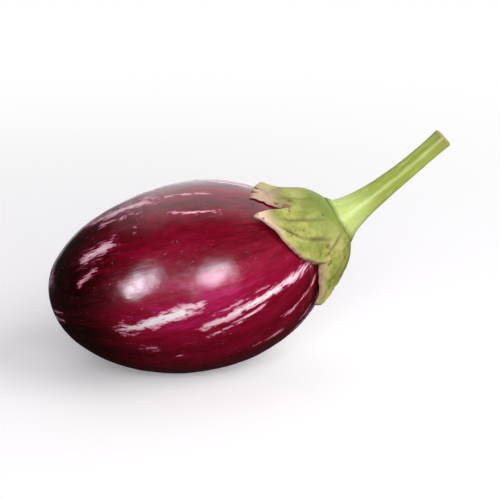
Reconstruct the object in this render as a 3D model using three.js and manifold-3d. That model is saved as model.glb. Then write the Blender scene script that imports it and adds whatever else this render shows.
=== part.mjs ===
// A small striped eggplant lying on its side, as picked: the fruit, the five-lobed calyx that caps it and the
// cut stem. Millimetres, +Z up. The origin is the middle of the small flat spot that the fruit rests on.
// +X points along the fruit to its stem end, and -Y is the side where the longest calyx lobe lies.
import * as THREE from "three";
import { mergeVertices } from "three/addons/utils/BufferGeometryUtils.js";
import Module from "manifold-3d";

// The fruit is a rounded oval swept along a centre line that climbs towards the stem end.
const FRUIT_LENGTH = 70;
const FRUIT_DIAMETER = 48;
const FRUIT_ROUNDNESS = 2; // exponent of the oval's outline: 2 is an ellipse, and more is blunter
const SHOULDER_SHARE = 0.07; // how much wider the fruit is towards the stem end, as a share of its radius
const NECK_RISE = 9.6; // how far the centre line has climbed at the stem end
const NECK_POWER = 3.5; // a higher power keeps the climb nearer to the stem end
const RIB_COUNT = 5; // broad, faint swellings round the fruit
const RIB_DEPTH = 0.25;

// How the fruit lies.
const REST_TILT = 3; // degrees by which its stem end is raised
const FLAT_DEPTH = 0.8; // how far the resting spot is pressed in

// The calyx is a leathery cap. Distances are measured over the fruit's skin, from its stem end.
const FIT_GAP = 0.3; // clearance between pieces that touch
const CROWN_THICKNESS = 5.9; // round the stem
const LEAF_THICKNESS = 0.9; // along the lobes' edges
const CROWN_REACH = 11.5; // how far the thick crown spreads
const CROWN_POWER = 2.8; // a higher power makes the crown's shoulder steeper
const EDGE_BOW = 3.3; // how far a lobe's edge bows out, times the square of the angle that it spans in radians
const TIP_ROUNDING = 3; // degrees by which a lobe's tip and a notch are rounded
// Lobes in order round the stem: angles in degrees from the top towards -Y. A notch follows each tip.
const LOBES = [
  { tipAt: 19, tip: 27, notchAt: 31, notch: 16 },
  { tipAt: 40, tip: 28, notchAt: 103, notch: 13.5 },
  { tipAt: 132, tip: 19, notchAt: 157, notch: 13 },
  { tipAt: 203, tip: 24, notchAt: 240, notch: 14 },
  { tipAt: 282, tip: 25, notchAt: 320, notch: 15.5 },
];

// The stem leaves the middle of the calyx and bends further up.
const STEM_LENGTH = 32.5;
const STEM_LEAN = 5; // degrees between the calyx's axis and the stem's first direction
const STEM_TURN = 8; // degrees that it bends along its length
const STEM_TURN_SHARE = 0.5; // where along its length it turns
const STEM_RADIUS = 2.2;
const STEM_FLARE = 2.8; // extra radius where it leaves the calyx
const STEM_FLARE_LENGTH = 7.5; // distance over which that flare falls to about a third
const STEM_END_SWELL = 0.25; // extra radius at the cut end
const STEM_END_LENGTH = 2.5;
const STEM_RIB_DEPTH = 0.14;

// Fineness of the meshes.
const FRUIT_RINGS = 44;
const FRUIT_SIDES = 60;
const CALYX_RINGS = 12;
const CALYX_SIDES = 100;
const STEM_RINGS = 26;
const STEM_SIDES = 20;
const UNDERSIDE_STEPS = 400; // places tried to find where the fruit touches what it lies on

const degrees = THREE.MathUtils.degToRad;

// The fruit's outline, from the blossom end to the stem end: x is the place along its centre line, y the radius.
class FruitOutline extends THREE.Curve {
  getPoint(t, target = new THREE.Vector2()) {
    const angle = Math.PI * t;
    const across = Math.sin(angle);
    const along = Math.abs(Math.cos(angle));
    const scale = (along ** FRUIT_ROUNDNESS + across ** FRUIT_ROUNDNESS) ** (-1 / FRUIT_ROUNDNESS);
    const reach = Math.sign(0.5 - t) * -along * scale;
    const radius = across * scale * (1 + SHOULDER_SHARE * reach);
    return target.set((reach * FRUIT_LENGTH) / 2, (radius * FRUIT_DIAMETER) / 2);
  }
}
const outline = new FruitOutline();
const outlineLength = outline.getLength();

// A point of the centre line and its climb angle. Past the stem end it goes straight on.
function centreLine(x) {
  const share = THREE.MathUtils.clamp(x / FRUIT_LENGTH + 0.5, 0, 1);
  const slope = ((NECK_POWER * NECK_RISE) / FRUIT_LENGTH) * share ** (NECK_POWER - 1);
  const beyond = Math.max(0, x - FRUIT_LENGTH / 2);
  return { x, z: NECK_RISE * share ** NECK_POWER + slope * beyond, climb: Math.atan(slope) };
}

// The point at a radius from the centre line. around is 0 at the top and grows towards -Y.
function sweep(x, radius, around) {
  const centre = centreLine(x);
  const up = radius * Math.cos(around);
  return new THREE.Vector3(
    centre.x - up * Math.sin(centre.climb),
    -radius * Math.sin(around),
    centre.z + up * Math.cos(centre.climb),
  );
}

function ribbed(radius, around) {
  return radius * (1 + ((2 * RIB_DEPTH) / FRUIT_DIAMETER) * Math.cos(RIB_COUNT * around));
}

// The point at a distance over the skin from the stem end, raised off the skin by out.
function overSkin(distance, around, out) {
  const t = 1 - distance / outlineLength;
  const point = outline.getPointAt(t);
  const tangent = outline.getTangentAt(t);
  return sweep(point.x + tangent.y * -out, ribbed(point.y, around) + tangent.x * out, around);
}

// The distance from the stem end to the calyx's edge: bowed edges run from each tip to the notches beside it.
function calyxReach(around) {
  const corners = LOBES.flatMap((lobe) => [
    { at: lobe.tipAt, reach: lobe.tip },
    { at: lobe.notchAt, reach: lobe.notch },
  ]);
  corners.push({ at: corners[0].at + 360, reach: corners[0].reach });
  const start = corners[0].at;
  const angle = THREE.MathUtils.euclideanModulo(THREE.MathUtils.radToDeg(around) - start, 360) + start;
  const next = corners.findIndex((corner) => corner.at > angle);
  const [from, to] = [corners[next - 1], corners[next]];
  const span = degrees(to.at - from.at);
  const turned = degrees(angle - from.at);
  const width = from.reach * Math.sin(turned) + to.reach * Math.sin(span - turned);
  const straight = (from.reach * to.reach * Math.sin(span)) / width;
  return straight + EDGE_BOW * span ** 2 * Math.sin((Math.PI * turned) / span);
}

// calyxReach averaged over a few degrees, which rounds the tips and the notches.
function calyxEdge(around) {
  const angles = [-1, -0.5, 0, 0.5, 1].map((share) => around + share * degrees(TIP_ROUNDING));
  return angles.reduce((sum, angle) => sum + calyxReach(angle), 0) / angles.length;
}

function calyxThickness(distance) {
  const crown = Math.exp(-((distance / CROWN_REACH) ** CROWN_POWER));
  return LEAF_THICKNESS + (CROWN_THICKNESS - LEAF_THICKNESS) * crown;
}

// A lathe whose vertices are carried from radius, height and angle to their real places.
function shapedLathe(profile, sides, place) {
  const geometry = new THREE.LatheGeometry(profile, sides);
  const position = geometry.getAttribute("position");
  for (let i = 0; i < position.count; i++) {
    const radius = Math.hypot(position.getX(i), position.getZ(i));
    const angle = Math.atan2(position.getX(i), position.getZ(i));
    const point = place(radius, position.getY(i), angle);
    position.setXYZ(i, point.x, point.y, point.z);
  }
  return geometry;
}

// Evenly spaced numbers from one value to another.
function steps(from, to, count) {
  return Array.from({ length: count + 1 }, (_, i) => from + ((to - from) * i) / count);
}

function fruitGeometry() {
  const profile = outline.getSpacedPoints(FRUIT_RINGS).map((point) => new THREE.Vector2(point.y, point.x));
  profile[0].x = 0;
  profile.at(-1).x = 0;
  return shapedLathe(profile, FRUIT_SIDES, (radius, x, around) => sweep(x, ribbed(radius, around), around));
}

// The lathe's radius is the share of the way to the edge, and its height is 0 inside and 1 outside.
function calyxGeometry() {
  const inside = steps(0, 1, CALYX_RINGS).map((share) => new THREE.Vector2(share, 0));
  const outside = steps(1, 0, CALYX_RINGS).map((share) => new THREE.Vector2(share, 1));
  return shapedLathe([...inside, ...outside], CALYX_SIDES, (share, layer, around) => {
    const distance = share * calyxEdge(around);
    return overSkin(distance, around, FIT_GAP + layer * calyxThickness(distance));
  });
}

function stemRadius(distance) {
  const flare = STEM_FLARE * Math.exp(-distance / STEM_FLARE_LENGTH);
  const swell = STEM_END_SWELL * Math.exp(-(STEM_LENGTH - distance) / STEM_END_LENGTH);
  return STEM_RADIUS + flare + swell;
}

// The stem's centre line, in the fruit's own upright plane.
function stemLine() {
  const start = overSkin(0, 0, CROWN_THICKNESS + 2 * FIT_GAP);
  const first = centreLine(FRUIT_LENGTH / 2).climb + degrees(STEM_LEAN);
  const direction = (angle) => new THREE.Vector3(Math.cos(angle), 0, Math.sin(angle));
  const last = first + degrees(STEM_TURN);
  const bend = start.clone().addScaledVector(direction(first), STEM_LENGTH * STEM_TURN_SHARE);
  const end = bend.clone().addScaledVector(direction(last), STEM_LENGTH * (1 - STEM_TURN_SHARE));
  return new THREE.QuadraticBezierCurve3(start, bend, end);
}

// The lathe's radius is a share of the stem's radius, and its height is the distance along the stem.
// The lowest ring sits on the calyx, so it follows the crown's outer face.
function stemGeometry() {
  const line = stemLine();
  const place = (share, distance, around) => {
    const radius = share * stemRadius(distance);
    if (distance === 0) return overSkin(radius, around, calyxThickness(radius) + 2 * FIT_GAP);
    const centre = line.getPointAt(distance / STEM_LENGTH);
    const tangent = line.getTangentAt(distance / STEM_LENGTH);
    const upwards = new THREE.Vector3(-tangent.z, 0, tangent.x);
    const sideways = new THREE.Vector3(0, -1, 0);
    const rib = share * STEM_RIB_DEPTH * Math.cos(RIB_COUNT * around);
    return centre
      .addScaledVector(upwards, (radius + rib) * Math.cos(around))
      .addScaledVector(sideways, (radius + rib) * Math.sin(around));
  };
  const foot = [0, 0.5].map((share) => new THREE.Vector2(share, 0));
  const wall = steps(0, STEM_LENGTH, STEM_RINGS).map((distance) => new THREE.Vector2(1, distance));
  const cutEnd = new THREE.Vector2(0, STEM_LENGTH);
  return shapedLathe([...foot, ...wall, cutEnd], STEM_SIDES, place);
}

const wasm = await Module();
wasm.setup();

function toSolid(geometry) {
  const bare = geometry.clone().deleteAttribute("normal").deleteAttribute("uv");
  const merged = mergeVertices(bare, 1e-3);
  const vertProperties = merged.getAttribute("position").array;
  return new wasm.Manifold(
    new wasm.Mesh({ numProp: 3, vertProperties, triVerts: new Uint32Array(merged.index.array) }),
  );
}

function toGeometry(solid) {
  const mesh = solid.getMesh();
  return new THREE.BufferGeometry()
    .setAttribute("position", new THREE.BufferAttribute(mesh.vertProperties, 3))
    .setIndex(new THREE.BufferAttribute(mesh.triVerts, 1));
}

// The lowest point of the tilted fruit's underside, where it meets the surface it lies on.
function lowestPoint(tilt) {
  const underside = outline
    .getSpacedPoints(UNDERSIDE_STEPS)
    .map((point) => sweep(point.x, ribbed(point.y, Math.PI), Math.PI).applyEuler(tilt));
  return underside.reduce((lowest, point) => (point.z < lowest.z ? point : lowest));
}

function finish(name, geometry, color, roughness) {
  geometry.computeVertexNormals();
  const mesh = new THREE.Mesh(geometry, new THREE.MeshStandardMaterial({ color, roughness, metalness: 0 }));
  mesh.name = name;
  return mesh;
}

// The pieces share the fruit's own frame, and this group lays them down.
const eggplant = new THREE.Group();
eggplant.rotation.y = -degrees(REST_TILT);
const lowest = lowestPoint(eggplant.rotation);
eggplant.position.set(-lowest.x, 0, -lowest.z - FLAT_DEPTH);
eggplant.updateMatrix();

// Everything below the surface that the fruit lies on is cut away, which leaves the flat spot.
const ground = new THREE.BoxGeometry(FRUIT_LENGTH, FRUIT_DIAMETER, FRUIT_DIAMETER)
  .translate(0, 0, -FRUIT_DIAMETER / 2)
  .applyMatrix4(eggplant.matrix.clone().invert());
const restingFruit = toSolid(fruitGeometry()).subtract(toSolid(ground));

eggplant.add(finish("fruit", toGeometry(restingFruit), "#6e0b2c", 0.25));
eggplant.add(finish("calyx", calyxGeometry(), "#97a552", 0.6));
eggplant.add(finish("stem", stemGeometry(), "#a9bd5a", 0.55));

export default eggplant;
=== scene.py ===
import math

import bmesh
import bpy
import numpy as np
from mathutils import Matrix, Vector, noise


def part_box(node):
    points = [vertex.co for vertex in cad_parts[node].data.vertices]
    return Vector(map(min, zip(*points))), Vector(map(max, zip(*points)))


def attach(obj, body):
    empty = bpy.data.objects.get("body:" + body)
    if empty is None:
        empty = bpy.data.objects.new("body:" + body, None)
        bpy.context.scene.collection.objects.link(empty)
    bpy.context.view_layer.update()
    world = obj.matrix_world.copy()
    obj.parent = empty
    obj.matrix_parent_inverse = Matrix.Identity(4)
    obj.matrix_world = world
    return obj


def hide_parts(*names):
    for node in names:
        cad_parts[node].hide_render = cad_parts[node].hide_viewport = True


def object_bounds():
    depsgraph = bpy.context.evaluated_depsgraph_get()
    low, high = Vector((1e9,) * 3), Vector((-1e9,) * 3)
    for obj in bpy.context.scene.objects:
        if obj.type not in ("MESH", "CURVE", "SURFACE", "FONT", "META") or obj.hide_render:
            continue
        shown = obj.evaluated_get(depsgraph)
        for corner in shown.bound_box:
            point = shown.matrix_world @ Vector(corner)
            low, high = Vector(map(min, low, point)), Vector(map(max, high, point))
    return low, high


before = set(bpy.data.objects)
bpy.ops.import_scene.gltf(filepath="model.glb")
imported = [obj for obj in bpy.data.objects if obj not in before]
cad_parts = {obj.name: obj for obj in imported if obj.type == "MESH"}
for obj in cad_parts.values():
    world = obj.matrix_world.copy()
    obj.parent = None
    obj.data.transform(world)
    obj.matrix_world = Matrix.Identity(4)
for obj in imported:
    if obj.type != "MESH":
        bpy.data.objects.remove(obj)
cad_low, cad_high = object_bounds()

MM = 0.001

# Sizes repeated from part.mjs.
FRUIT_LENGTH = 70
FRUIT_DIAMETER = 48
SHOULDER_SHARE = 0.07
NECK_RISE = 9.6
NECK_POWER = 3.5
RIB_COUNT = 5
RIB_DEPTH = 0.25
REST_TILT = 3
FIT_GAP = 0.3
CROWN_THICKNESS = 5.9
LEAF_THICKNESS = 0.9
CROWN_REACH = 11.5
CROWN_POWER = 2.8
EDGE_BOW = 3.3
STEM_LENGTH = 32.5
STEM_LEAN = 5
STEM_TURN = 8
STEM_TURN_SHARE = 0.5
STEM_RADIUS = 2.2
STEM_FLARE = 2.8
STEM_FLARE_LENGTH = 7.5
STEM_END_SWELL = 0.25
STEM_END_LENGTH = 2.5
STEM_RIB_DEPTH = 0.14

# The calyx's corners in order round the stem: angle in degrees and distance from the stem. The two
# first are a tip and a notch, and they alternate from there.
CALYX_CORNERS = [
    (19, 27), (31, 16), (40, 28), (103, 13.5), (132, 19),
    (157, 13), (203, 24), (240, 14), (282, 25), (320, 15.5),
]  # fmt: skip

# Each lobe's tip angle, and how far its tip has curled off the skin.
LOBE_CURLS = [(19, 0.1), (40, 1.3), (132, 0.5), (203, 1.0), (282, 1.2)]

# Fineness of the meshes.
FRUIT_RINGS, FRUIT_SIDES = 230, 360
CALYX_RINGS, CALYX_SIDES = 64, 460
STEM_RINGS, STEM_SIDES = 150, 120
OUTLINE_STEPS = 4000
CALYX_RIM = 0.8  # width of the calyx's rounded rim

# The skin's fibres and streaks run like meridians between two poles, which lie a little off the
# fruit's axis.
GRAIN_LEAN = 11.4  # degrees between the grain's poles and the axis
GRAIN_LEAN_TOWARDS = 48.8  # the side to which the pole at the stem end leans

# Streaks on the side that the camera sees: the points that each runs through, as share of the way
# from the blossom end and angle round the grain's axis, then its half width in millimetres and its
# strength.
STREAKS = [
    ([(0.325, 95), (0.37, 93.5), (0.44, 89.5), (0.55, 86)], 1.7, 0.9),
    ([(0.41, 92), (0.47, 89), (0.53, 87.5)], 2.0, 0.95),
    ([(0.53, 102), (0.63, 99.5), (0.74, 100), (0.80, 103), (0.88, 111)], 1.35, 0.8),
    ([(0.535, 109.5), (0.61, 107.5), (0.70, 105)], 0.7, 0.7),
    ([(0.56, 95.5), (0.65, 93.5), (0.74, 93.5)], 0.4, 0.15),
    ([(0.27, 3), (0.34, 7), (0.42, 7.5), (0.48, 8)], 2.2, 0.6),
    ([(0.44, 8), (0.54, 9), (0.66, 10.5)], 0.5, 0.5),
    ([(0.31, 14), (0.36, 16), (0.44, 18)], 0.8, 0.4),
    ([(0.51, 24.5), (0.60, 27.5), (0.68, 28)], 0.5, 0.45),
    ([(0.245, 38.5), (0.29, 37), (0.35, 35)], 1.7, 0.58),
    ([(0.225, 57), (0.25, 53.5), (0.29, 50)], 0.7, 0.5),
    ([(0.41, 28), (0.42, 28.5)], 0.4, 0.3),
    ([(0.41, 33.5), (0.42, 34)], 0.4, 0.3),
    ([(0.72, 127), (0.80, 129), (0.86, 134)], 0.45, 0.4),
    ([(0.62, 133), (0.70, 138)], 0.4, 0.35),
    ([(0.74, 146), (0.83, 153)], 0.4, 0.4),
    ([(0.35, 112), (0.40, 112)], 0.7, 0.15),
    ([(0.43, 121), (0.47, 121)], 0.4, 0.15),
]
SEEN_SIDE = (-8, 150)  # angles between which random streaks stay few
RANDOM_STREAKS = 120
STREAK_SEED = 11
STREAK_WIDTHS = [0.3, 0.45, 0.7, 1.1, 1.6]
STREAK_WIDTH_CHANCES = [0.3, 0.3, 0.2, 0.14, 0.06]

# Swells of the skin: how long and how high each kind is in millimetres, and its seed.
SWELLS = [(15, 0.16, 1), (3.2, 0.012, 2)]

# The scar at the blossom end, in millimetres: its half length and half width are these times its size.
SCAR_LONG = 1.25
SCAR_NARROW = 0.85
DIMPLE_DEPTH = 0.55
DIMPLE_RADIUS = 4.2

rng = np.random.default_rng(STREAK_SEED)


# ---------------------------------------------------------------- shapes


def smooth(low, high, value):
    """A smooth step from 0 at low to 1 at high. It falls where low is above high."""
    share = np.clip((value - low) / (high - low), 0, 1)
    return share * share * (3 - 2 * share)


def turns_apart(first, second):
    """The smallest angle between two directions, in degrees."""
    return np.abs((first - second + 180) % 360 - 180)


class Outline:
    """The fruit's outline: place along the axis, radius and the slopes of both."""

    def __init__(self):
        angle = np.linspace(0, math.pi, OUTLINE_STEPS)
        reach = -np.cos(angle)
        self.along = reach * FRUIT_LENGTH / 2
        self.radius = np.sin(angle) * (1 + SHOULDER_SHARE * reach) * FRUIT_DIAMETER / 2
        steps = np.hypot(np.diff(self.along), np.diff(self.radius))
        self.place = np.concatenate([[0], np.cumsum(steps)])
        self.length = self.place[-1]
        self.along_slope = np.gradient(self.along, self.place)
        self.radius_slope = np.gradient(self.radius, self.place)

    def at(self, distance):
        """The four values at a distance over the skin from the stem end."""
        place = self.length - distance
        columns = self.along, self.radius, self.along_slope, self.radius_slope
        return [np.interp(place, self.place, column) for column in columns]


OUTLINE = Outline()


def centre_line(along):
    """Height and climb angle of the fruit's centre line. Past the stem end it goes straight on."""
    share = np.clip(along / FRUIT_LENGTH + 0.5, 0, 1)
    slope = NECK_POWER * NECK_RISE / FRUIT_LENGTH * share ** (NECK_POWER - 1)
    height = NECK_RISE * share**NECK_POWER + slope * np.maximum(0, along - FRUIT_LENGTH / 2)
    return height, np.arctan(slope)


def sweep(along, radius, around):
    """Points at a radius round the centre line."""
    height, climb = centre_line(along)
    up = radius * np.cos(around)
    return np.stack(
        [along - up * np.sin(climb), -radius * np.sin(around), height + up * np.cos(climb)], axis=-1
    )


def over_skin(distance, around, out):
    """Points at a distance over the skin from the stem end, raised off the skin by out."""
    along, radius, along_slope, radius_slope = OUTLINE.at(distance)
    ribbed = radius * (1 + 2 * RIB_DEPTH / FRUIT_DIAMETER * np.cos(RIB_COUNT * around))
    return sweep(along - radius_slope * out, ribbed + along_slope * out, around)


def calyx_reach(around):
    """Distance from the stem end to the calyx's edge: bowed edges run between tips and notches."""
    corners = CALYX_CORNERS + [(CALYX_CORNERS[0][0] + 360, CALYX_CORNERS[0][1])]
    start = corners[0][0]
    angle = (np.degrees(around) - start) % 360 + start
    reach = np.zeros_like(angle)
    for (from_angle, from_reach), (to_angle, to_reach) in zip(corners, corners[1:]):
        span = math.radians(to_angle - from_angle)
        turned = np.radians(angle - from_angle)
        width = from_reach * np.sin(turned) + to_reach * np.sin(span - turned)
        straight = from_reach * to_reach * math.sin(span) / np.where(width > 0, width, 1)
        bowed = straight + EDGE_BOW * span**2 * np.sin(math.pi * turned / span)
        reach = np.where((angle >= from_angle) & (angle <= to_angle), bowed, reach)
    return reach


def crown_thickness(distance):
    crown = np.exp(-((distance / CROWN_REACH) ** CROWN_POWER))
    return LEAF_THICKNESS + (CROWN_THICKNESS - LEAF_THICKNESS) * crown


def roughen(points, size, seed, octaves=3):
    """Smooth noise between about -1 and 1 at each point, with lumps of the given size in millimetres."""
    shift = Vector((seed * 17.3, seed * 5.1, seed * 9.7))
    flat = points.reshape(-1, 3)
    values = [noise.fractal(Vector(point) / size + shift, 0.7, 2, octaves) for point in flat]
    return np.array(values).reshape(points.shape[:-1])


def grid_mesh(rings):
    """A closed mesh over a grid of points, whose first and last rings are single points."""
    count, sides = rings.shape[:2]
    inner = rings[1:-1].reshape(-1, 3)
    points = np.concatenate([rings[0, :1], inner, rings[-1, :1]])
    last = len(points) - 1
    column = np.arange(sides)
    beside = (column + 1) % sides
    row = np.arange(count - 3)[:, None] * sides + 1
    quads = np.stack([row + column, row + beside, row + sides + beside, row + sides + column], axis=-1)
    faces = quads.reshape(-1, 4).tolist()
    faces += [(0, int(b) + 1, int(a) + 1) for a, b in zip(column, beside)]
    top = last - sides
    faces += [(last, int(a) + top, int(b) + top) for a, b in zip(column, beside)]
    mesh = bpy.data.meshes.new("grid")
    mesh.from_pydata((points * MM).tolist(), [], faces)
    bm = bmesh.new()
    bm.from_mesh(mesh)
    bmesh.ops.recalc_face_normals(bm, faces=bm.faces)
    bm.to_mesh(mesh)
    bm.free()
    mesh.shade_smooth()
    return mesh


def store(mesh, name, values):
    """Keeps a grid's values on its mesh, as a number or a vector for each vertex."""
    ends = values[:1, 0], values[-1:, 0]
    flat = np.concatenate([ends[0], values[1:-1].reshape(-1, *values.shape[2:]), ends[1]])
    kind, field = ("FLOAT_VECTOR", "vector") if values.ndim == 3 else ("FLOAT", "value")
    attribute = mesh.attributes.new(name, kind, "POINT")
    attribute.data.foreach_set(field, flat.astype(np.float32).ravel())


def add_piece(name, rings, values, material):
    """A new object from a grid of points, the values it keeps and its material."""
    mesh = grid_mesh(rings)
    for key, value in values.items():
        store(mesh, key, value)
    piece = bpy.data.objects.new(name, mesh)
    bpy.context.scene.collection.objects.link(piece)
    mesh.materials.append(material)
    return piece


def laid_down(points):
    """Turns points from the fruit's own frame to the one it rests in, before its place is known."""
    tilt = math.radians(REST_TILT)
    x, y, z = np.moveaxis(points, -1, 0)
    return np.stack(
        [x * math.cos(tilt) - z * math.sin(tilt), y, x * math.sin(tilt) + z * math.cos(tilt)], axis=-1
    )


def resting_offset():
    """The shift that puts the laid-down fruit where the CAD fruit is, from the CAD fruit's box."""
    distance = np.linspace(0, OUTLINE.length, 600)[:, None]
    around = np.radians(np.arange(0, 360, 2))[None, :]
    skin = laid_down(over_skin(distance, around, 0))
    corner = np.array(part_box("fruit")[1]) / MM
    return np.array([corner[0] - skin[..., 0].max(), 0, corner[2] - skin[..., 2].max()])


OFFSET = resting_offset()


def settle(points):
    """Points in the resting frame. Nothing goes below the surface, which leaves the flat resting spot."""
    placed = laid_down(points) + OFFSET
    placed[..., 2] = np.maximum(placed[..., 2], 0)
    return placed


# ---------------------------------------------------------------- fruit


def grain_coordinates(share, around):
    """Share of the way from the grain's blossom pole, and angle round its axis."""
    polar = math.pi * share
    ahead = -np.cos(polar) + 0 * around
    toward = np.stack([ahead, np.sin(polar) * np.cos(around), np.sin(polar) * np.sin(around)], axis=-1)
    side = math.radians(GRAIN_LEAN_TOWARDS)
    axis = Vector((1, 0, 0)).cross(Vector((0, math.cos(side), math.sin(side))))
    toward = toward @ np.array(Matrix.Rotation(math.radians(GRAIN_LEAN), 3, axis))
    angle = np.arctan2(toward[..., 2], toward[..., 1])
    return np.arccos(np.clip(-toward[..., 0], -1, 1)) / math.pi, angle


def random_streaks():
    """More streaks in the same style, for the sides that the listed ones leave bare."""
    made = []
    while len(made) < RANDOM_STREAKS:
        start = rng.uniform(0.03, 0.78) ** 1.15
        length = rng.uniform(0.04, 0.24)
        angle = rng.uniform(-180, 180)
        drift = rng.normal(0, 3)
        width = rng.choice(STREAK_WIDTHS, p=STREAK_WIDTH_CHANCES)
        strength = rng.uniform(0.4, 1)
        if SEEN_SIDE[0] < angle < SEEN_SIDE[1] and start + length > 0.16:
            continue
        end = min(start + length, 0.97)
        middle = (start + end) / 2
        points = [(start, angle), (middle, angle + drift), (end, angle + drift)]
        made.append((points, width, strength))
    return made


def streak_field(share, angle, ring_radius):
    """How deep each point lies in a streak: at most the streak's strength, and below 0 outside."""
    field = np.full(share.shape, -1.0)
    for points, half_width, strength in STREAKS + random_streaks():
        shares, angles = zip(*points)
        middle = np.interp(share, shares, angles)
        across = np.radians(turns_apart(angle, middle)) * ring_radius / half_width
        beyond = np.maximum(shares[0] - share, share - shares[-1]) * OUTLINE.length / (half_width * 4)
        place = (share - shares[0]) / (shares[-1] - shares[0])
        taper = 0.55 + 0.45 * np.sin(math.pi * np.clip(place, 0, 1))
        depth = strength * taper * (1 - across**1.5) - 2 * np.maximum(0, beyond)
        field = np.maximum(field, depth)
    return np.maximum(field, -1)


def blossom_scar(share, angle):
    """How far the dimple and the corky scar at the blossom end move the skin, and the scar's mask."""
    radius = share * OUTLINE.length
    from_middle = np.hypot(radius * np.cos(angle) / SCAR_LONG, radius * np.sin(angle) / SCAR_NARROW)
    dimple = -DIMPLE_DEPTH * np.exp(-((radius / DIMPLE_RADIUS) ** 2))
    scar = 1 - smooth(0.75, 1.15, from_middle)
    rim = 0.12 * np.exp(-(((from_middle - 1.05) / 0.3) ** 2))
    return dimple + 0.22 * scar + rim, scar


def make_fruit():
    distance = np.linspace(OUTLINE.length, 0, FRUIT_RINGS)[:, None]
    around = np.linspace(0, 2 * math.pi, FRUIT_SIDES, endpoint=False)[None, :]
    share = 1 - distance / OUTLINE.length
    grain_share, grain_angle = grain_coordinates(share, around)
    scar_out, scar = blossom_scar(grain_share, grain_angle)
    plain_skin = over_skin(distance, around, 0)
    swells = sum(height * roughen(plain_skin, size, seed) for size, height, seed in SWELLS)
    away_from_calyx = smooth(14, 30, distance)
    skin = over_skin(distance, around, scar_out + swells * away_from_calyx)
    ring_radius = FRUIT_DIAMETER / 2 * np.sin(math.pi * grain_share)
    degrees = np.degrees(grain_angle)
    values = {
        "grain": np.stack([np.cos(grain_angle), np.sin(grain_angle), grain_share], axis=-1),
        "streak": streak_field(grain_share, degrees, ring_radius),
        "scar": scar,
        "pigment_and_painted_shading": pigment_and_painted_shading(grain_share, degrees),
    }
    return add_piece("fruit_skin_surface", settle(skin), values, fruit_material())


def pigment_and_painted_shading(share, angle):
    """How deep the skin's colour is, from 0, bright magenta, to 1, nearly black: a middle depth, with
    painted shade at the blossom end and underside on the side the camera sees, and painted light over the
    lit middle, between the highlights and on the top.
    """
    # Painted light: brighter over the lit middle, in a glow between the highlights, and on the top.
    painted_lit_middle = np.exp(-((turns_apart(angle, 92) / 27) ** 2)) * smooth(0.24, 0.5, share)
    painted_lit_middle *= 1 - 0.3 * smooth(0.6, 0.8, share)
    painted_glow_spot = np.exp(-((turns_apart(angle, 77) / 15) ** 2) - ((share - 0.5) / 0.16) ** 2)
    # Painted shade: darker at the blossom end and underneath, only on the side the camera sees.
    painted_shade_end = 1 - smooth(0.15, 0.37, share)
    painted_shade_under = smooth(125, 160, turns_apart(angle, 0))
    seen = np.exp(-((turns_apart(angle, 75) / 85) ** 4))
    painted_lit_top = np.exp(-((turns_apart(angle, 25) / 30) ** 2)) * smooth(0.32, 0.5, share)
    painted_light = 0.50 * painted_lit_middle + 0.22 * painted_glow_spot + 0.14 * painted_lit_top
    painted_shade = (0.54 * painted_shade_end + 0.22 * painted_shade_under) * seen
    return np.clip(0.54 - painted_light + painted_shade, 0, 1)


# ---------------------------------------------------------------- calyx

# Creases in the calyx: start and end as distance from the stem and angle, and their depth in millimetres.
CREASES = [
    ((19, 44), (9, 56), 0.28),
    ((21.5, 51), (15, 68), 0.36),
    ((15, 68), (9.5, 86), 0.34),
    ((12, 98), (5.5, 92), 0.25),
    ((20, 13), (8, 20), 0.2),
    ((16, 131), (6, 128), 0.22),
    ((14, 150), (7, 140), 0.18),
    ((20, 203), (7, 205), 0.25),
    ((17, 190), (8, 195), 0.18),
    ((17, 216), (8, 212), 0.18),
    ((21, 282), (7, 280), 0.25),
    ((17, 267), (8, 272), 0.2),
    ((17, 297), (8, 290), 0.2),
    ((13, 330), (6, 335), 0.16),
]
CREASE_WIDTH = 0.5
CREASE_FULL = 0.34  # depth of a crease that is coloured in full

# Bulges of the crown between the lobes' veins: distance and angle, height and width.
BULGES = [((10.5, -10), 0.9, 3.2), ((11, 172), 0.5, 3), ((10, 236), 0.6, 3)]
# Corky brown blotches: distance, angle and radius.
BLOTCHES = [
    ((10.8, 89.5), 0.75),
    ((12.1, 108), 0.6),
    ((11.4, 98), 0.45),
    ((15.5, 29), 1.5),
    ((13.5, 20), 0.8),
    ((17.5, 24), 0.9),
    ((9, 318), 0.8),
    ((12, 205), 0.6),
    ((15, 283), 0.7),
]
EDGE_ROUNDING = 0.8  # degrees over which the edge's corners are rounded
EDGE_BAYS = [(2.6, 0.35, 5), (0.7, 0.12, 6)]  # bays in the edge: how long, how deep, and their seed
LEAF_LEAST = 0.35  # the leaf's least thickness
DRY_LOBE = 12  # angle of the lobe that has dried to tan
DRY_SHRINK = 0.75  # how much thinner and flatter it is
DRY_TEAR = 1.8  # how far its edge is torn back
# The lobe towards the camera runs out into a narrow point: its angle and how far it reaches.
POINT_ANGLE = 136
POINT_REACH = 1.8
POINT_WIDTH = 5


def flat_place(distance, angle):
    """A spot on the calyx spread out flat."""
    return distance * math.cos(math.radians(angle)), distance * math.sin(math.radians(angle))


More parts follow.
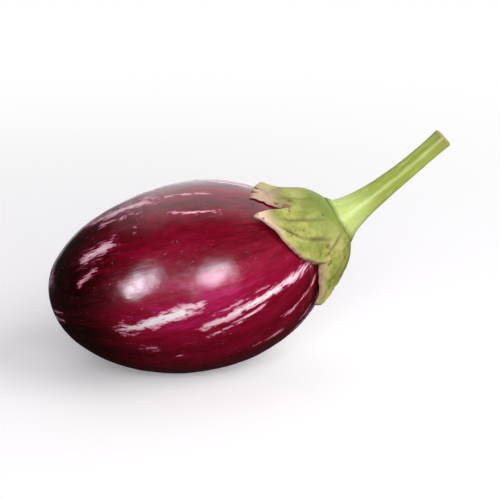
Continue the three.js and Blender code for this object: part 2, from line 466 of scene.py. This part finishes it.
def crease_field(distance, around):
    """Depth of the creases at each point, and a mask that follows them."""
    x, y = distance * np.cos(around), distance * np.sin(around)
    depth = np.zeros(np.broadcast(distance, around).shape)
    mask = np.zeros_like(depth)
    for start, end, deep in CREASES:
        ax, ay = flat_place(*start)
        bx, by = flat_place(*end)
        length = math.hypot(bx - ax, by - ay)
        along = ((x - ax) * (bx - ax) + (y - ay) * (by - ay)) / length**2
        held = np.clip(along, 0, 1)
        off = np.hypot(x - ax - held * (bx - ax), y - ay - held * (by - ay))
        strength = np.exp(-((off / CREASE_WIDTH) ** 2)) * (0.45 + 0.55 * np.sin(math.pi * held))
        depth = np.maximum(depth, deep * strength)
        mask = np.maximum(mask, strength * deep / CREASE_FULL)
    return depth, mask


def away_from(distance, angles, spot):
    """Distance of points on the calyx from a spot. All are given by distance from the stem and angle."""
    return np.hypot(distance - spot[0], np.radians(turns_apart(angles, spot[1])) * distance)


def calyx_edge(around, angles):
    """Distance from the stem to the calyx's edge, with small bays, a torn lobe and a narrow point."""
    turns = np.radians([-EDGE_ROUNDING, 0, EDGE_ROUNDING])
    edge = sum(calyx_reach(around + turn) for turn in turns) / len(turns)
    skin = over_skin(edge, around, 0)
    for size, height, seed in EDGE_BAYS:
        edge = edge + height * roughen(skin, size, seed, 2)
    torn = 1 - smooth(8, 16, turns_apart(angles, DRY_LOBE))
    tear = 0.6 + np.clip(2.2 * roughen(skin, 1.5, 9, 3), -0.6, 1)
    point = np.exp(-((turns_apart(angles, POINT_ANGLE) / POINT_WIDTH) ** 2))
    return edge - DRY_TEAR * torn * tear + POINT_REACH * point


def leaf_relief(distance, around, angles):
    """How far lumps and bulges raise the leaf's upper face."""
    skin = over_skin(distance, around, 2)
    lumps = 0.22 * roughen(skin, 4.5, 7) * smooth(2, 8, distance) + 0.06 * roughen(skin, 1.1, 8)
    for spot, height, width in BULGES:
        lumps += height * np.exp(-((away_from(distance, angles, spot) / width) ** 2))
    return lumps


def make_calyx():
    around = np.linspace(0, 2 * math.pi, CALYX_SIDES, endpoint=False)[None, :]
    angles = np.degrees(around)
    edge = calyx_edge(around, angles)

    # The grid starts under the stem, runs out along the lower face and comes back on the upper face.
    lower = np.linspace(0, 1, CALYX_RINGS // 2)[:, None]
    upper = np.linspace(1, 0, CALYX_RINGS)[:, None] ** 0.8
    share = np.concatenate([lower, upper])
    on_top = np.concatenate([np.zeros_like(lower), np.ones_like(upper)])
    distance = share * edge
    from_edge = edge - distance
    rim = np.sqrt(1 - (1 - np.clip(from_edge / CALYX_RIM, 0, 1)) ** 2)
    dry = smooth(13, 19, distance) * (1 - smooth(18, 26, turns_apart(angles, DRY_LOBE)))

    curl = sum(lift * np.exp(-((turns_apart(angles, tip) / 24) ** 2)) for tip, lift in LOBE_CURLS)
    curled = curl * smooth(0.55, 1.0, share) ** 1.6
    lifted = 0.22 * smooth(0.8, 1, share) * (1 + roughen(over_skin(distance, around, 0), 5, 3))
    depth, crease = crease_field(distance, around)
    plain = crown_thickness(distance)
    lively = plain - depth + leaf_relief(distance, around, angles)
    clear_of_stem = smooth(4.9, 6.2, distance)
    top = plain * (1 - clear_of_stem) + lively * clear_of_stem
    shrunk = 1 - DRY_SHRINK * dry
    thickness = on_top * np.maximum(top, LEAF_LEAST) * (0.12 + 0.88 * rim)
    out = (FIT_GAP + curled + lifted + thickness) * shrunk

    blotch = np.zeros_like(distance)
    for spot, radius in BLOTCHES:
        blotch = np.maximum(blotch, 1 - away_from(distance, angles, spot) / radius / 1.6)
    values = {
        "crease": crease * on_top,
        "blotch": blotch * on_top,
        "dry": dry,
        "from_edge": np.clip(from_edge, 0, 20),
        "from_stem": distance,
        "polar": np.stack([distance * np.cos(around), distance * np.sin(around), out], axis=-1),
    }
    points = over_skin(distance, around, out)
    return add_piece("calyx_leaf_surface", settle(points), values, calyx_material())


# ---------------------------------------------------------------- stem


def stem_line(share):
    """Points and directions along the stem's centre line, as shares of its length."""
    start = over_skin(np.array(0.0), np.array(0.0), CROWN_THICKNESS + 2 * FIT_GAP)
    first = float(centre_line(np.array(FRUIT_LENGTH / 2))[1]) + math.radians(STEM_LEAN)
    last = first + math.radians(STEM_TURN)
    bend = start + STEM_LENGTH * STEM_TURN_SHARE * np.array([math.cos(first), 0, math.sin(first)])
    end = bend + STEM_LENGTH * (1 - STEM_TURN_SHARE) * np.array([math.cos(last), 0, math.sin(last)])
    t = np.asarray(share)[..., None]
    points = (1 - t) ** 2 * start + 2 * t * (1 - t) * bend + t**2 * end
    tangents = 2 * (1 - t) * (bend - start) + 2 * t * (end - bend)
    return points, tangents / np.linalg.norm(tangents, axis=-1, keepdims=True)


CUT_ROUNDING = 0.35  # how far the cut end's rim is rounded
CUT_RINGS = 14
FOOT_RINGS = 8
PITH_DEPTH = 0.35  # how far the pith has shrunk back from the cut face
SEAT_GAP = 0.405  # between the stem's foot and the calyx under it
STEM_BUMPS = 0.05


def make_stem():
    around = np.linspace(0, 2 * math.pi, STEM_SIDES, endpoint=False)[None, :]

    # The grid runs out from the middle of the foot, along the stem, and in again over the cut face.
    foot = np.linspace(0, 1, FOOT_RINGS)[:-1, None]
    along = np.linspace(0, 1, STEM_RINGS)[:, None] ** 1.15 * (STEM_LENGTH - CUT_ROUNDING)
    ends = np.linspace(0, 1, CUT_RINGS)[1:, None]
    flare = STEM_FLARE * np.exp(-along / STEM_FLARE_LENGTH)
    swell = STEM_END_SWELL * np.exp(-(STEM_LENGTH - along) / STEM_END_LENGTH)
    radius = STEM_RADIUS + flare + swell
    ribs = STEM_RIB_DEPTH * (np.cos(RIB_COUNT * around) + 0.5 * np.cos(2 * around + 1.1))
    rounding = CUT_ROUNDING * np.sin(np.minimum(ends * 4, 1) * math.pi / 2)
    pith = -PITH_DEPTH * smooth(0.35, 0, 1 - ends - 0.15)
    distance = np.concatenate([foot * 0, along, STEM_LENGTH - CUT_ROUNDING + rounding + pith])
    share_out = np.concatenate([foot, np.ones_like(along), 1 - ends])
    base = np.concatenate([np.full_like(foot, radius[0, 0]), radius, np.full_like(ends, radius[-1, 0])])
    line_share = distance / STEM_LENGTH
    across = np.cos(around) * share_out
    fibres = np.stack([across, np.sin(around) * share_out, line_share + 0 * around], axis=-1)
    on_side = (share_out == 1) & (line_share > 0)
    bumps = STEM_BUMPS * roughen(fibres * np.array([1, 1, 2.2]), 0.45, 12) * on_side
    reach = share_out * (base + ribs) + bumps

    points, tangents = stem_line(np.clip(line_share, 0, 1.02)[:, 0])
    upwards = np.stack([-tangents[:, 2], 0 * tangents[:, 0], tangents[:, 0]], axis=-1)
    placed = (
        points[:, None, :]
        + (reach * np.cos(around))[..., None] * upwards[:, None, :]
        + (reach * np.sin(around))[..., None] * np.array([0, -1, 0])
    )
    on_calyx = over_skin(reach, around, crown_thickness(reach) + SEAT_GAP)
    placed = np.where((distance <= 0)[..., None], on_calyx, placed)
    values = {
        "fibres": fibres,
        "cut": np.concatenate([0 * foot, 0 * along, np.minimum(ends * 5, 1)]) + 0 * around,
        "cut_radius": share_out + 0 * around,
        "along": line_share + 0 * around,
    }
    return add_piece("stem_surface", settle(placed), values, stem_material())


# ---------------------------------------------------------------- materials


class Nodes:
    """A node tree, built by short calls that return output sockets."""

    def __init__(self, tree):
        self.tree = tree

    def node(self, kind, inputs=(), **settings):
        made = self.tree.nodes.new(kind)
        for key, value in settings.items():
            setattr(made, key, value)
        for key, value in dict(inputs).items():
            self.give(made.inputs[key], value)
        return made

    def give(self, socket, value):
        if isinstance(value, bpy.types.NodeSocket):
            self.tree.links.new(value, socket)
        elif socket.type == "RGBA" and len(value) == 3:
            socket.default_value = (*value, 1)
        else:
            socket.default_value = value

    def vector(self, name, scale=(1, 1, 1)):
        """A vector kept on the mesh, stretched by scale."""
        read = self.node("ShaderNodeAttribute", attribute_name=name)
        inputs = {0: read.outputs["Vector"], 1: scale}
        return self.node("ShaderNodeVectorMath", inputs, operation="MULTIPLY").outputs[0]

    def number(self, name):
        """A number kept on the mesh."""
        return self.node("ShaderNodeAttribute", attribute_name=name).outputs["Fac"]

    def noise(self, vector, scale=1, detail=3, roughness=0.55, distortion=0):
        inputs = {
            "Vector": vector,
            "Scale": scale,
            "Detail": detail,
            "Roughness": roughness,
            "Distortion": distortion,
        }
        return self.node("ShaderNodeTexNoise", inputs).outputs["Fac"]

    def dots(self, vector, scale, share, size):
        """Round spots on a share of the cells, fading out at size."""
        cells = self.node("ShaderNodeTexVoronoi", {"Vector": vector, "Scale": scale})
        near = self.step(size, size * 0.55, cells.outputs["Distance"])
        chosen = self.node("ShaderNodeSeparateColor", {0: cells.outputs["Color"]}).outputs[0]
        picked = self.step(1 - share, 1 - share * 0.6, chosen)
        return self.times(near, picked)

    def math(self, operation, first, second):
        return self.node("ShaderNodeMath", {0: first, 1: second}, operation=operation).outputs[0]

    def times(self, first, second):
        return self.math("MULTIPLY", first, second)

    def scaled(self, value, factor, plus=0):
        """The value times the factor, plus a number or another socket."""
        inputs = {0: value, 1: factor, 2: plus}
        return self.node("ShaderNodeMath", inputs, operation="MULTIPLY_ADD").outputs[0]

    def swung(self, value, noise, amount):
        """A value that noise pushes up and down, by up to half the amount."""
        return self.scaled(self.math("SUBTRACT", noise, 0.5), amount, value)

    def step(self, low, high, value, least=0):
        """A smooth step from least at low to 1 at high. It falls where low is above high."""
        inputs = {"Value": value, "From Min": low, "From Max": high, "To Min": least}
        return self.node("ShaderNodeMapRange", inputs, interpolation_type="SMOOTHSTEP").outputs[0]

    def ramp(self, value, stops):
        made = self.node("ShaderNodeValToRGB", {0: value})
        elements = made.color_ramp.elements
        while len(elements) < len(stops):
            elements.new(0.5)
        for element, (place, colour) in zip(elements, stops):
            element.position = place
            element.color = (*colour, 1)
        return made.outputs[0]

    def mix(self, share, first, second):
        made = self.node("ShaderNodeMix", data_type="RGBA")
        self.give(made.inputs["Factor"], share)
        for socket, value in ((made.inputs[6], first), (made.inputs[7], second)):
            self.give(socket, value)
        return made.outputs[2]

    def painted(self, colour, mask, amount, paint):
        """The colour under a layer of paint, which is as strong as amount where the mask is 1."""
        return self.mix(self.times(mask, amount), colour, paint)

    def bump(self, height, millimetres, normal=None):
        made = self.node("ShaderNodeBump", {"Height": height, "Distance": millimetres * MM, "Strength": 1})
        if normal is not None:
            self.give(made.inputs["Normal"], normal)
        return made.outputs[0]


class Shader(Nodes):
    """A new material with a Principled BSDF, and its node tree."""

    def __init__(self, name):
        self.material = bpy.data.materials.new(name)
        self.material.use_nodes = True
        super().__init__(self.material.node_tree)
        self.bsdf = self.tree.nodes["Principled BSDF"]

    def set(self, **inputs):
        for key, value in inputs.items():
            self.give(self.bsdf.inputs[key.replace("_", " ")], value)


# Colours are linear red, green and blue. A list of them is a ramp: each with its place from 0 to 1.
SKIN_SHADES = [
    (0.0, (0.014, 0.0003, 0.0006)),
    (0.3, (0.075, 0.0006, 0.0040)),
    (0.55, (0.19, 0.0018, 0.0145)),
    (0.78, (0.30, 0.0036, 0.036)),
    (1.0, (0.50, 0.016, 0.125)),
]
STREAK_SHADES = [(0.05, (0.56, 0.15, 0.25)), (0.38, (0.88, 0.48, 0.60)), (0.62, (1.0, 0.92, 0.97))]
HALO_COLOUR = (0.36, 0.02, 0.085)
WISP_COLOUR = (0.36, 0.05, 0.12)
FLECK_COLOUR = (0.60, 0.20, 0.28)
NET_COLOUR = (0.72, 0.42, 0.40)
SCAR_EDGE_COLOUR = (0.80, 0.62, 0.36)
CORK_SHADES = [(0.3, (0.16, 0.09, 0.03)), (0.7, (0.50, 0.36, 0.15))]
# The pit colour is painted shade in the pits.
PIT_SHADE_COLOUR = (0.03, 0.002, 0.006)
SKIN_IOR = 1.5
SKIN_ROUGHNESS = 0.17

LEAF_SHADES = [(0.35, (0.17, 0.21, 0.024)), (0.5, (0.34, 0.36, 0.065)), (0.62, (0.52, 0.51, 0.17))]
# The crown colour is painted shade on the crown's upper side.
CROWN_SHADE_COLOUR = (0.16, 0.24, 0.022)
DOWN_COLOUR = (0.45, 0.46, 0.17)
# The crease colour is vein colour and painted shade in the creases.
CREASE_VEIN_AND_SHADE_COLOUR = (0.085, 0.075, 0.018)
RIM_COLOUR = (0.50, 0.35, 0.19)
RIM_EDGE_COLOUR = (0.36, 0.15, 0.08)
TIP_COLOUR = (0.92, 0.63, 0.50)
PAPERY_COLOURS = (0.36, 0.19, 0.13), (0.56, 0.40, 0.27)
BLOTCH_COLOUR = (0.20, 0.10, 0.035)
SPOT_COLOUR = (0.15, 0.075, 0.025)
SPECK_COLOUR = (0.20, 0.13, 0.035)
LEAF_ROUGHNESS = 0.47
PLANT_IOR = 1.42

STEM_SHADES = [(0.34, (0.28, 0.35, 0.040)), (0.52, (0.43, 0.51, 0.090)), (0.70, (0.58, 0.64, 0.19))]
# The stem's foot colour is a paler base and a painted highlight.
STEM_FOOT_AND_HIGHLIGHT_COLOUR = (0.70, 0.86, 0.31)
STEM_END_COLOUR = (0.34, 0.29, 0.09)
STEM_SPECK_COLOUR = (0.17, 0.16, 0.04)
WOOD_SHADES = [(0.35, (0.30, 0.19, 0.09)), (0.65, (0.62, 0.50, 0.27))]
PITH_COLOUR = (0.66, 0.50, 0.38)
CUT_RIM_COLOUR = (0.20, 0.11, 0.045)
STEM_ROUGHNESS = 0.42


def fruit_material():
    s = Shader("eggplant skin")
    position = s.node("ShaderNodeTexCoord").outputs["Object"]
    streak = s.number("streak")
    scar = s.number("scar")

    # Colour that runs along the skin's fibres, from nearly black to bright magenta.
    bands = s.noise(s.vector("grain", (5, 5, 3.2)), detail=3, distortion=0.4)
    fibres = s.noise(s.vector("grain", (52, 52, 26)), detail=4, roughness=0.65)
    threads = s.noise(s.vector("grain", (130, 130, 38)), detail=2)
    patches = s.noise(s.vector("grain", (14, 14, 16)), detail=3, roughness=0.6)
    tone = s.scaled(bands, 0.8, 0.02)
    tone = s.swung(tone, fibres, 0.5)
    tone = s.swung(tone, threads, 0.22)
    tone = s.swung(tone, patches, 0.35)
    # The tone is lowered by the pigment value, which also carries painted shade and painted light.
    tone = s.math("SUBTRACT", s.math("ADD", tone, 0.45), s.times(s.number("pigment_and_painted_shading"), 0.86))
    skin = s.ramp(tone, SKIN_SHADES)

    # Streaks where the skin has no pigment, broken up along their edges, with wisps and flecks between.
    ragged = s.noise(s.vector("grain", (17, 17, 21)), detail=5, roughness=0.72)
    nicks = s.noise(s.vector("grain", (44, 44, 52)), detail=2, roughness=0.6)
    fringed = s.swung(streak, ragged, 4.2)
    fringed = s.swung(fringed, fibres, 1.9)
    fringed = s.swung(fringed, nicks, 1.3)
    bare = s.step(0.12, 0.46, fringed)
    halo = s.step(-0.55, 0.5, fringed)
    wisps = s.step(0.63, 0.76, s.noise(s.vector("grain", (34, 34, 13)), detail=3, roughness=0.6))
    flecks = s.step(0.66, 0.74, s.noise(s.vector("grain", (64, 64, 60)), detail=2, roughness=0.5))
    fleck_zones = s.step(0.48, 0.66, s.noise(s.vector("grain", (6, 6, 7)), detail=2))
    skin = s.painted(skin, halo, 0.45, HALO_COLOUR)
    skin = s.painted(skin, wisps, 0.38, WISP_COLOUR)
    skin = s.painted(skin, s.times(flecks, fleck_zones), 0.55, FLECK_COLOUR)
    paleness = s.math("ADD", s.times(fringed, 0.18), s.times(streak, 0.58))
    skin = s.mix(bare, skin, s.ramp(paleness, STREAK_SHADES))

    # A net of cream threads radiates from the scar at the blossom end.
    share = s.node("ShaderNodeSeparateXYZ", {0: s.vector("grain")}).outputs[2]
    net_reach = s.step(0.115, 0.03, share)
    net_field = s.noise(s.vector("grain", (11, 11, 42)), detail=4, roughness=0.7)
    net = s.step(0.62, 0.74, s.scaled(net_reach, 0.26, net_field))
    skin = s.painted(skin, s.times(net, net_reach), 0.85, NET_COLOUR)
    skin = s.mix(s.step(0.034, 0.016, share), skin, SCAR_EDGE_COLOUR)
    cork = s.ramp(s.noise(position, 1400, detail=4, roughness=0.7), CORK_SHADES)
    skin = s.mix(scar, skin, cork)

    # Tiny pits dent the shine and are painted nearly black, as painted shade in them, and the skin is a
    # little rougher where it has no pigment.
    pits = s.dots(s.vector("grain", (1, 1, 3.1)), 20, 0.06, 0.25)
    skin = s.painted(skin, pits, 0.85, PIT_SHADE_COLOUR)
    smudge = s.step(0.42, 0.75, s.noise(position, 650, detail=4, roughness=0.65))
    rough = s.scaled(smudge, 0.10, SKIN_ROUGHNESS)
    rough = s.scaled(bare, 0.08, rough)
    rough = s.scaled(scar, 0.4, rough)
    normal = s.bump(s.noise(s.vector("grain", (60, 60, 30)), detail=1), 0.018)
    normal = s.bump(s.noise(position, 700, detail=1), 0.012, normal)
    normal = s.bump(s.math("SUBTRACT", 1, pits), 0.05, normal)
    s.set(Base_Color=skin, Roughness=rough, Normal=normal, IOR=SKIN_IOR)
    return s.material


def calyx_material():
    s = Shader("calyx leaf")
    position = s.node("ShaderNodeTexCoord").outputs["Object"]
    polar = s.vector("polar")
    from_stem = s.number("from_stem")

    broad = s.noise(polar, 0.16, detail=3)
    mottle = s.noise(polar, 0.9, detail=4, roughness=0.6)
    fine = s.noise(position, 1900, detail=3, roughness=0.6)
    leaf = s.ramp(s.math("ADD", s.times(broad, 0.7), s.times(mottle, 0.3)), LEAF_SHADES)

    # The crown's upper side near the stem is painted a deeper green as painted shade, and pale down lies
    # over all of the leaf.
    near_stem = s.step(14, 6, from_stem)
    upper_side = s.step(-3, 5, s.node("ShaderNodeSeparateXYZ", {0: polar}).outputs[0])
    leaf = s.painted(leaf, s.times(near_stem, upper_side), 0.9, CROWN_SHADE_COLOUR)
    leaf = s.painted(leaf, s.step(0.35, 0.7, fine), 0.18, DOWN_COLOUR)

    # Creases are olive brown, darker the deeper they are: vein colour and painted shade in them. The rim
    # is dry: tan at first and brown at the very edge.
    leaf = s.painted(leaf, s.number("crease"), 0.8, CREASE_VEIN_AND_SHADE_COLOUR)
    edge = s.swung(s.number("from_edge"), mottle, 1.8)
    leaf = s.painted(leaf, s.step(1.5, 0.3, edge), 0.7, RIM_COLOUR)
    leaf = s.painted(leaf, s.step(0.35, -0.35, edge), 0.7, RIM_EDGE_COLOUR)
    leaf = s.painted(leaf, s.step(19, 26, from_stem), 0.8, TIP_COLOUR)
    papery = s.mix(s.step(0.32, 0.6, broad), *PAPERY_COLOURS)
    leaf = s.painted(leaf, s.number("dry"), 0.9, papery)

    # Corky brown blotches, with a few smaller spots and many specks.
    blotch = s.swung(s.number("blotch"), mottle, 1.6)
    leaf = s.painted(leaf, s.step(0.25, 0.7, blotch), 0.85, BLOTCH_COLOUR)
    leaf = s.painted(leaf, s.dots(polar, 0.55, 0.16, 0.26), 0.8, SPOT_COLOUR)
    leaf = s.painted(leaf, s.dots(polar, 2.2, 0.12, 0.3), 0.6, SPECK_COLOUR)

    rough = s.scaled(mottle, 0.25, LEAF_ROUGHNESS)
    normal = s.bump(mottle, 0.25)
    normal = s.bump(fine, 0.09, normal)
    s.set(Base_Color=leaf, Roughness=rough, Normal=normal, IOR=PLANT_IOR)
    s.set(Subsurface_Weight=0.08, Subsurface_Scale=0.0015, Subsurface_Radius=(1.0, 0.9, 0.3))
    return s.material


def stem_material():
    s = Shader("stem skin")
    position = s.node("ShaderNodeTexCoord").outputs["Object"]
    along = s.number("along")
    cut = s.number("cut")
    cut_radius = s.number("cut_radius")
    grain = s.noise(s.vector("fibres", (9, 9, 7)), detail=4, roughness=0.6)
    threads = s.noise(s.vector("fibres", (14, 14, 12)), detail=1)
    skin = s.ramp(s.math("ADD", s.times(grain, 0.65), s.times(threads, 0.35)), STEM_SHADES)
    # The foot is paler: its own paler base and a painted highlight. The end is browner.
    skin = s.painted(skin, s.step(0.36, 0.05, along), 0.6, STEM_FOOT_AND_HIGHLIGHT_COLOUR)
    skin = s.painted(skin, s.step(0.88, 1.0, along), 0.5, STEM_END_COLOUR)
    specks = s.dots(s.vector("fibres", (1, 1, 4.5)), 9, 0.2, 0.25)
    skin = s.painted(skin, specks, 0.45, STEM_SPECK_COLOUR)

    # The cut end: a brown ring of dried skin round paler wood, and the soft pith in the middle.
    wood = s.noise(s.vector("fibres", (12, 12, 1)), detail=4, roughness=0.7)
    face = s.ramp(wood, WOOD_SHADES)
    face = s.mix(s.step(0.5, 0.2, cut_radius), face, PITH_COLOUR)
    face = s.mix(s.step(0.78, 0.97, cut_radius), face, CUT_RIM_COLOUR)
    skin = s.mix(cut, skin, face)
    rough = s.scaled(cut, 0.35, STEM_ROUGHNESS)
    normal = s.bump(threads, 0.035)
    normal = s.bump(s.noise(position, 1600, detail=1), 0.02, normal)
    s.set(Base_Color=skin, Roughness=rough, Normal=normal, IOR=PLANT_IOR)
    return s.material


# ---------------------------------------------------------------- stage

CAMERA_AZIMUTH = -10
CAMERA_ELEVATION = 20
CAMERA_DISTANCE = 0.9
FRAME_SHARE = 0.80  # share of the picture's width that the object fills
FLOOR_RADIUS = 2.5
WORLD_DIFFUSE = 0.8  # brightness of the studio behind the object, as it lights it
WORLD_GLOSSY = 1.9  # and as its skin reflects it
FLOOR_COLOUR = (0.93, 0.92, 0.94)
FLOOR_GLOW = 0.21  # keeps the floor white where it is unshaded
FLOOR_GLOW_COLOUR = (1.0, 0.98, 1.0)
FLOOR_BOUNCE = (0.07, 0.05, 0.055)  # its colour to all but the camera
FLOOR_MIRRORED = 1.6  # brightness of the floor behind the object where the skin reflects it
FLOOR_FADE = (0.085, 0.26)  # distances in metres between which the floor turns white to the camera
WORLD_COLOUR = (0.97, 0.97, 1.0)
SOFTBOX_CORE = 0.15  # share of a softbox that is evenly bright
SOFTBOX_GATHER = 2.2  # how fast it falls off from there

# Lights: direction from the object in degrees, distance and size in metres, radiance, colour, and
# what they reach. The two softboxes make the highlights, and the canopy and the front light the
# surfaces evenly.
LIGHTS = [
    ("left softbox", (-37, 17), 0.9, (0.48, 1.12), 29.0, (0.86, 0.88, 1.0), "glossy"),
    ("right softbox", (8, 19), 0.9, (0.72, 1.10), 19.0, (0.80, 0.90, 1.0), "glossy"),
    ("canopy", (62, 34), 1.0, (0.9, 0.9), 3.2, (1.0, 0.99, 0.98), "diffuse"),
    ("front", (-2, 22), 1.0, (0.8, 0.8), 4.2, (1.0, 0.99, 0.98), "diffuse"),
]


def direction(azimuth, elevation):
    """Unit vector from the object towards a place round it. Azimuth 0 is -Y, and 90 is +X."""
    a, e = math.radians(azimuth), math.radians(elevation)
    return Vector((math.sin(a) * math.cos(e), -math.cos(a) * math.cos(e), math.sin(e)))


def add_camera(low, high):
    middle = (low + high) / 2
    toward = direction(CAMERA_AZIMUTH, CAMERA_ELEVATION)
    data = bpy.data.cameras.new("camera")
    camera = bpy.data.objects.new("camera", data)
    bpy.context.scene.collection.objects.link(camera)
    camera.location = middle + toward * CAMERA_DISTANCE
    camera.rotation_euler = (-toward).to_track_quat("-Z", "Y").to_euler()
    width = (high.x - low.x) * math.cos(math.radians(CAMERA_AZIMUTH))
    data.sensor_width = 36
    data.lens = data.sensor_width * CAMERA_DISTANCE * FRAME_SHARE / width
    data.clip_start = 0.01
    bpy.context.scene.camera = camera


def add_light(name, place, distance, size, radiance, colour, reach, target):
    toward = direction(*place)
    data = bpy.data.lights.new(name, "AREA")
    data.shape = "RECTANGLE"
    data.size, data.size_y = size
    data.energy = radiance * size[0] * size[1] * math.pi
    data.color = colour
    light = bpy.data.objects.new(name, data)
    bpy.context.scene.collection.objects.link(light)
    light.location = target + toward * distance
    light.rotation_euler = (-toward).to_track_quat("-Z", "Y").to_euler()
    light.visible_camera = False
    light.visible_diffuse = reach == "diffuse"
    light.visible_glossy = reach == "glossy"
    if reach == "glossy":
        soften(data)


def soften(data):
    """Fades a softbox from its middle to its edges, as its cloth does."""
    data.use_nodes = True
    s = Nodes(data.node_tree)
    place = s.node("ShaderNodeNewGeometry").outputs["Parametric"]
    inputs = {0: place, 1: (2, 2, 0), 2: (-1, -1, 0)}
    centred = s.node("ShaderNodeVectorMath", inputs, operation="MULTIPLY_ADD").outputs[0]
    far = s.node("ShaderNodeVectorMath", {0: centred}, operation="LENGTH").outputs["Value"]
    fade = s.math("POWER", s.step(1, SOFTBOX_CORE, far), SOFTBOX_GATHER)
    s.give(s.tree.nodes["Emission"].inputs["Strength"], fade)


def add_world():
    """White to the camera. To the rest, bright behind and to the right, and dim on the camera's side."""
    world = bpy.data.worlds.new("studio")
    bpy.context.scene.world = world
    world.use_nodes = True
    world.node_tree.nodes.clear()
    s = Nodes(world.node_tree)
    place = s.node("ShaderNodeTexCoord").outputs["Generated"]
    split = s.node("ShaderNodeSeparateXYZ", {0: place}).outputs
    behind = s.step(-0.12, 0.42, split["Y"], least=0.015)
    right = s.step(-0.35, 0.5, s.scaled(split["X"], 2, split["Z"]), least=0.03)
    rays = s.node("ShaderNodeLightPath").outputs
    strength = s.scaled(rays["Is Glossy Ray"], WORLD_GLOSSY - WORLD_DIFFUSE, WORLD_DIFFUSE)
    strength = s.times(s.times(behind, right), strength)
    studio = s.node("ShaderNodeBackground", {"Color": WORLD_COLOUR, "Strength": strength})
    white = s.node("ShaderNodeBackground", {"Color": (1, 1, 1)})
    inputs = {0: rays["Is Camera Ray"], 1: studio.outputs[0], 2: white.outputs[0]}
    seen = s.node("ShaderNodeMixShader", inputs).outputs[0]
    s.node("ShaderNodeOutputWorld", {0: seen})


def add_floor():
    """A pale round floor that fades to white with distance. It throws little light on the object."""
    mesh = bpy.data.meshes.new("floor")
    bm = bmesh.new()
    bmesh.ops.create_circle(bm, cap_ends=True, segments=96, radius=FLOOR_RADIUS)
    bm.to_mesh(mesh)
    bm.free()
    floor = bpy.data.objects.new("floor", mesh)
    bpy.context.scene.collection.objects.link(floor)
    s = Shader("pale floor")
    s.material.cycles.emission_sampling = "NONE"
    place = s.node("ShaderNodeTexCoord").outputs["Object"]
    split = s.node("ShaderNodeSeparateXYZ", {0: place}).outputs
    rays = s.node("ShaderNodeLightPath").outputs
    behind = s.times(s.step(0.04, 0.25, split["Y"]), s.step(-0.25, 0.1, split["X"]))
    mirrored = s.times(rays["Is Glossy Ray"], s.times(behind, FLOOR_MIRRORED))
    glow = s.scaled(rays["Is Camera Ray"], FLOOR_GLOW, mirrored)
    colour = s.mix(rays["Is Camera Ray"], FLOOR_BOUNCE, FLOOR_COLOUR)
    s.set(Base_Color=colour, Roughness=1.0, Specular_IOR_Level=0.0)
    s.set(Emission_Color=FLOOR_GLOW_COLOUR, Emission_Strength=glow)
    white = s.node("ShaderNodeEmission", {"Color": (1, 1, 1)})
    far = s.node("ShaderNodeVectorMath", {0: place}, operation="LENGTH").outputs["Value"]
    fade = s.times(s.step(*FLOOR_FADE, far), rays["Is Camera Ray"])
    seen = s.node("ShaderNodeMixShader", {0: fade, 1: s.bsdf.outputs[0], 2: white.outputs[0]}).outputs[0]
    s.give(s.tree.nodes["Material Output"].inputs["Surface"], seen)
    mesh.materials.append(s.material)


fruit = make_fruit()
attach(fruit, "root")
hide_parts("fruit")

calyx = make_calyx()
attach(calyx, "root")
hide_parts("calyx")

stem = make_stem()
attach(stem, "root")
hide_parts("stem")

add_camera(cad_low, cad_high)
middle = (cad_low + cad_high) / 2
for light in LIGHTS:
    add_light(*light, middle)
add_world()
add_floor()
bpy.context.scene.view_settings.view_transform = "Standard"
